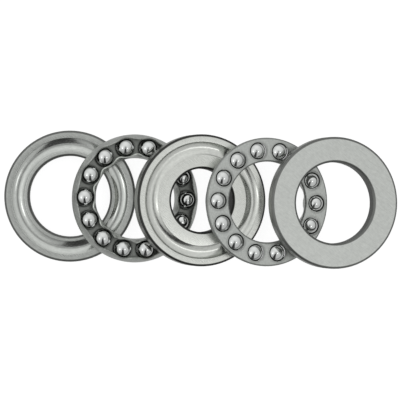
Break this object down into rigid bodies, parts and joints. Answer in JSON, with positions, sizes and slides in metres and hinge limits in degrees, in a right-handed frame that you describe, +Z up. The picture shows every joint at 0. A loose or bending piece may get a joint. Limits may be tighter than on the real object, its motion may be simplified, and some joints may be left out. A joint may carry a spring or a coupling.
{
  "type": "thrust ball bearing",
  "caption": "Double-direction thrust ball bearing taken apart in a row: housing washers, shaft washer with two raceways, and caged balls that roll with the shaft.",
  "frame": {"origin": "middle of the laid-out row's box, on the surface that it lies on", "axes": "+X along the row from the lower to the upper housing washer, +Z up"},
  "size_m": [0.1558, 0.0546, 0.0202],
  "materials": {
    "housing_washer": "fine ground faces, honed raceway",
    "shaft_washer": "fine ground faces, polished raceways",
    "cage": "pressed sheet steel, satin",
    "ball": "mirror polished"
  },
  "bodies": {
    "lower_housing_washer": {"lower_housing_washer": "housing_washer"},
    "shaft_washer": {"shaft_washer": "shaft_washer"},
    "lower_cage": {"lower_cage": "cage"},
    "upper_housing_washer": {"upper_housing_washer": "housing_washer"},
    "upper_cage": {"upper_cage": "cage"},
    "lower_ball_01": {"lower_ball_01": "ball"},
    "lower_ball_02": {"lower_ball_02": "ball"},
    "lower_ball_03": {"lower_ball_03": "ball"},
    "lower_ball_04": {"lower_ball_04": "ball"},
    "lower_ball_05": {"lower_ball_05": "ball"},
    "lower_ball_06": {"lower_ball_06": "ball"},
    "lower_ball_07": {"lower_ball_07": "ball"},
    "lower_ball_08": {"lower_ball_08": "ball"},
    "lower_ball_09": {"lower_ball_09": "ball"},
    "lower_ball_10": {"lower_ball_10": "ball"},
    "lower_ball_11": {"lower_ball_11": "ball"},
    "lower_ball_12": {"lower_ball_12": "ball"},
    "lower_ball_13": {"lower_ball_13": "ball"},
    "lower_ball_14": {"lower_ball_14": "ball"},
    "upper_ball_01": {"upper_ball_01": "ball"},
    "upper_ball_02": {"upper_ball_02": "ball"},
    "upper_ball_03": {"upper_ball_03": "ball"},
    "upper_ball_04": {"upper_ball_04": "ball"},
    "upper_ball_05": {"upper_ball_05": "ball"},
    "upper_ball_06": {"upper_ball_06": "ball"},
    "upper_ball_07": {"upper_ball_07": "ball"},
    "upper_ball_08": {"upper_ball_08": "ball"},
    "upper_ball_09": {"upper_ball_09": "ball"},
    "upper_ball_10": {"upper_ball_10": "ball"},
    "upper_ball_11": {"upper_ball_11": "ball"},
    "upper_ball_12": {"upper_ball_12": "ball"},
    "upper_ball_13": {"upper_ball_13": "ball"},
    "upper_ball_14": {"upper_ball_14": "ball"}
  },
  "joints": [
    {"name": "shaft_washer_spin", "type": "hinge", "parent": "lower_housing_washer", "child": "shaft_washer", "pos_m": [-0.00026, -0.00032, 0.0097], "axis": [0.2487, 0, 0.9686], "continuous": true},
    {"name": "lower_cage_spin", "type": "hinge", "parent": "lower_housing_washer", "child": "lower_cage", "pos_m": [-0.02576, 0.00042, 0.00799], "axis": [0.2147, 0, 0.9767], "continuous": true},
    {"name": "upper_pair_slide", "type": "slide", "parent": "lower_housing_washer", "child": "upper_housing_washer", "axis": [1, 0, 0], "range_m": [0, 0.04]},
    {"name": "upper_cage_spin", "type": "hinge", "parent": "upper_housing_washer", "child": "upper_cage", "pos_m": [0.02574, -0.00097, 0.01006], "axis": [0.3156, 0, 0.9489], "continuous": true},
    {"name": "lower_ball_01_roll", "type": "hinge", "parent": "lower_cage", "child": "lower_ball_01", "pos_m": [-0.00575, -0.00011, 0.00359], "axis": [0.9763, -0.0262, -0.2147], "continuous": true},
    {"name": "lower_ball_02_roll", "type": "hinge", "parent": "lower_cage", "child": "lower_ball_02", "pos_m": [-0.0075, 0.00883, 0.00398], "axis": [0.8907, 0.4102, -0.1958], "continuous": true},
    {"name": "lower_ball_03_roll", "type": "hinge", "parent": "lower_cage", "child": "lower_ball_03", "pos_m": [-0.01287, 0.01611, 0.00516], "axis": [0.6287, 0.7652, -0.1382], "continuous": true},
    {"name": "lower_ball_04_roll", "type": "hinge", "parent": "lower_cage", "child": "lower_ball_04", "pos_m": [-0.0208, 0.02028, 0.0069], "axis": [0.2422, 0.9688, -0.0532], "continuous": true},
    {"name": "lower_ball_05_roll", "type": "hinge", "parent": "lower_cage", "child": "lower_ball_05", "pos_m": [-0.02971, 0.02052, 0.00886], "axis": [-0.1923, 0.9804, 0.0423], "continuous": true},
    {"name": "lower_ball_06_roll", "type": "hinge", "parent": "lower_cage", "child": "lower_ball_06", "pos_m": [-0.03783, 0.01678, 0.01065], "axis": [-0.5887, 0.7979, 0.1294], "continuous": true},
    {"name": "lower_ball_07_roll", "type": "hinge", "parent": "lower_cage", "child": "lower_ball_07", "pos_m": [-0.04357, 0.0098, 0.01191], "axis": [-0.8686, 0.4573, 0.191], "continuous": true},
    {"name": "lower_ball_08_roll", "type": "hinge", "parent": "lower_cage", "child": "lower_ball_08", "pos_m": [-0.04578, 0.00096, 0.01239], "axis": [-0.9763, 0.0262, 0.2147], "continuous": true},
    {"name": "lower_ball_09_roll", "type": "hinge", "parent": "lower_cage", "child": "lower_ball_09", "pos_m": [-0.04402, -0.00798, 0.01201], "axis": [-0.8907, -0.4102, 0.1958], "continuous": true},
    {"name": "lower_ball_10_roll", "type": "hinge", "parent": "lower_cage", "child": "lower_ball_10", "pos_m": [-0.03865, -0.01526, 0.01083], "axis": [-0.6287, -0.7652, 0.1382], "continuous": true},
    {"name": "lower_ball_11_roll", "type": "hinge", "parent": "lower_cage", "child": "lower_ball_11", "pos_m": [-0.03073, -0.01943, 0.00909], "axis": [-0.2422, -0.9688, 0.0532], "continuous": true},
    {"name": "lower_ball_12_roll", "type": "hinge", "parent": "lower_cage", "child": "lower_ball_12", "pos_m": [-0.02182, -0.01967, 0.00713], "axis": [0.1923, -0.9804, -0.0423], "continuous": true},
    {"name": "lower_ball_13_roll", "type": "hinge", "parent": "lower_cage", "child": "lower_ball_13", "pos_m": [-0.01369, -0.01593, 0.00534], "axis": [0.5887, -0.7979, -0.1294], "continuous": true},
    {"name": "lower_ball_14_roll", "type": "hinge", "parent": "lower_cage", "child": "lower_ball_14", "pos_m": [-0.00796, -0.00895, 0.00408], "axis": [0.8686, -0.4573, -0.191], "continuous": true},
    {"name": "upper_ball_01_roll", "type": "hinge", "parent": "upper_cage", "child": "upper_ball_01", "pos_m": [0.04518, -0.00151, 0.00359], "axis": [0.9486, -0.0262, -0.3155], "continuous": true},
    {"name": "upper_ball_02_roll", "type": "hinge", "parent": "upper_cage", "child": "upper_ball_02", "pos_m": [0.04348, 0.00743, 0.00416], "axis": [0.8654, 0.4102, -0.2879], "continuous": true},
    {"name": "upper_ball_03_roll", "type": "hinge", "parent": "upper_cage", "child": "upper_ball_03", "pos_m": [0.03826, 0.01471, 0.0059], "axis": [0.6108, 0.7652, -0.2032], "continuous": true},
    {"name": "upper_ball_04_roll", "type": "hinge", "parent": "upper_cage", "child": "upper_ball_04", "pos_m": [0.03056, 0.01888, 0.00846], "axis": [0.2353, 0.9688, -0.0783], "continuous": true},
    {"name": "upper_ball_05_roll", "type": "hinge", "parent": "upper_cage", "child": "upper_ball_05", "pos_m": [0.02191, 0.01912, 0.01134], "axis": [-0.1869, 0.9804, 0.0622], "continuous": true},
    {"name": "upper_ball_06_roll", "type": "hinge", "parent": "upper_cage", "child": "upper_ball_06", "pos_m": [0.01401, 0.01538, 0.01396], "axis": [-0.572, 0.7979, 0.1903], "continuous": true},
    {"name": "upper_ball_07_roll", "type": "hinge", "parent": "upper_cage", "child": "upper_ball_07", "pos_m": [0.00844, 0.0084, 0.01582], "axis": [-0.8438, 0.4573, 0.2807], "continuous": true},
    {"name": "upper_ball_08_roll", "type": "hinge", "parent": "upper_cage", "child": "upper_ball_08", "pos_m": [0.00629, -0.00044, 0.01653], "axis": [-0.9486, 0.0262, 0.3155], "continuous": true},
    {"name": "upper_ball_09_roll", "type": "hinge", "parent": "upper_cage", "child": "upper_ball_09", "pos_m": [0.008, -0.00938, 0.01596], "axis": [-0.8654, -0.4102, 0.2879], "continuous": true},
    {"name": "upper_ball_10_roll", "type": "hinge", "parent": "upper_cage", "child": "upper_ball_10", "pos_m": [0.01322, -0.01666, 0.01423], "axis": [-0.6108, -0.7652, 0.2032], "continuous": true},
    {"name": "upper_ball_11_roll", "type": "hinge", "parent": "upper_cage", "child": "upper_ball_11", "pos_m": [0.02091, -0.02083, 0.01167], "axis": [-0.2353, -0.9688, 0.0783], "continuous": true},
    {"name": "upper_ball_12_roll", "type": "hinge", "parent": "upper_cage", "child": "upper_ball_12", "pos_m": [0.02957, -0.02107, 0.00879], "axis": [0.1869, -0.9804, -0.0622], "continuous": true},
    {"name": "upper_ball_13_roll", "type": "hinge", "parent": "upper_cage", "child": "upper_ball_13", "pos_m": [0.03746, -0.01733, 0.00616], "axis": [0.572, -0.7979, -0.1903], "continuous": true},
    {"name": "upper_ball_14_roll", "type": "hinge", "parent": "upper_cage", "child": "upper_ball_14", "pos_m": [0.04304, -0.01035, 0.00431], "axis": [0.8438, -0.4573, -0.2807], "continuous": true}
  ],
  "couplings": [
    {"joint": "lower_cage_spin", "follows": "shaft_washer_spin", "ratio": 0.5},
    {"joint": "upper_cage_spin", "follows": "shaft_washer_spin", "ratio": 0.5},
    {"joint": "lower_ball_01_roll", "follows": "shaft_washer_spin", "ratio": -2.8695},
    {"joint": "lower_ball_02_roll", "follows": "shaft_washer_spin", "ratio": -2.8695},
    {"joint": "lower_ball_03_roll", "follows": "shaft_washer_spin", "ratio": -2.8695},
    {"joint": "lower_ball_04_roll", "follows": "shaft_washer_spin", "ratio": -2.8695},
    {"joint": "lower_ball_05_roll", "follows": "shaft_washer_spin", "ratio": -2.8695},
    {"joint": "lower_ball_06_roll", "follows": "shaft_washer_spin", "ratio": -2.8695},
    {"joint": "lower_ball_07_roll", "follows": "shaft_washer_spin", "ratio": -2.8695},
    {"joint": "lower_ball_08_roll", "follows": "shaft_washer_spin", "ratio": -2.8695},
    {"joint": "lower_ball_09_roll", "follows": "shaft_washer_spin", "ratio": -2.8695},
    {"joint": "lower_ball_10_roll", "follows": "shaft_washer_spin", "ratio": -2.8695},
    {"joint": "lower_ball_11_roll", "follows": "shaft_washer_spin", "ratio": -2.8695},
    {"joint": "lower_ball_12_roll", "follows": "shaft_washer_spin", "ratio": -2.8695},
    {"joint": "lower_ball_13_roll", "follows": "shaft_washer_spin", "ratio": -2.8695},
    {"joint": "lower_ball_14_roll", "follows": "shaft_washer_spin", "ratio": -2.8695},
    {"joint": "upper_ball_01_roll", "follows": "shaft_washer_spin", "ratio": 2.8695},
    {"joint": "upper_ball_02_roll", "follows": "shaft_washer_spin", "ratio": 2.8695},
    {"joint": "upper_ball_03_roll", "follows": "shaft_washer_spin", "ratio": 2.8695},
    {"joint": "upper_ball_04_roll", "follows": "shaft_washer_spin", "ratio": 2.8695},
    {"joint": "upper_ball_05_roll", "follows": "shaft_washer_spin", "ratio": 2.8695},
    {"joint": "upper_ball_06_roll", "follows": "shaft_washer_spin", "ratio": 2.8695},
    {"joint": "upper_ball_07_roll", "follows": "shaft_washer_spin", "ratio": 2.8695},
    {"joint": "upper_ball_08_roll", "follows": "shaft_washer_spin", "ratio": 2.8695},
    {"joint": "upper_ball_09_roll", "follows": "shaft_washer_spin", "ratio": 2.8695},
    {"joint": "upper_ball_10_roll", "follows": "shaft_washer_spin", "ratio": 2.8695},
    {"joint": "upper_ball_11_roll", "follows": "shaft_washer_spin", "ratio": 2.8695},
    {"joint": "upper_ball_12_roll", "follows": "shaft_washer_spin", "ratio": 2.8695},
    {"joint": "upper_ball_13_roll", "follows": "shaft_washer_spin", "ratio": 2.8695},
    {"joint": "upper_ball_14_roll", "follows": "shaft_washer_spin", "ratio": 2.8695}
  ]
}
